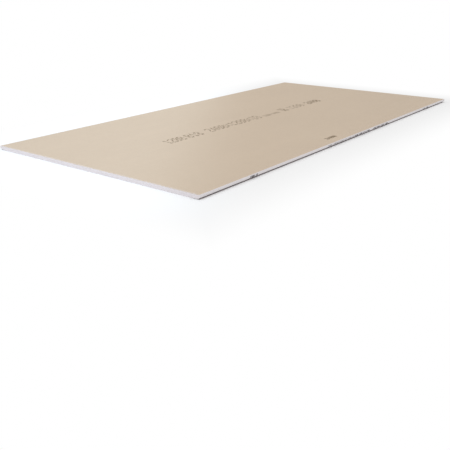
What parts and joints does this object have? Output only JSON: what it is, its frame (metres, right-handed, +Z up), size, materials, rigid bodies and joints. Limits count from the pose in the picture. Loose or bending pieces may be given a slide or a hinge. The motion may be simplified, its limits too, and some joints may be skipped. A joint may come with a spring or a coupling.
{
  "type": "drywall sheet",
  "caption": "Flat gypsum board with paper facings, tapered half-round long edges and square-cut ends, lying back side up; it is screwed to studs or joists to line a wall or ceiling.",
  "frame": {"origin": "centre of the sheet, on the plane of its face, which is the plane that it lies on", "axes": "+X across the width, +Y along the length, +Z up out of the back"},
  "size_m": [1.2, 2.4, 0.018],
  "materials": {
    "back_paper": "matte",
    "face_paper": "matte",
    "gypsum_core": "matte",
    "print_ink": "matte"
  },
  "bodies": {
    "root": {"drywall_sheet": "back_paper"}
  },
  "joints": []
}
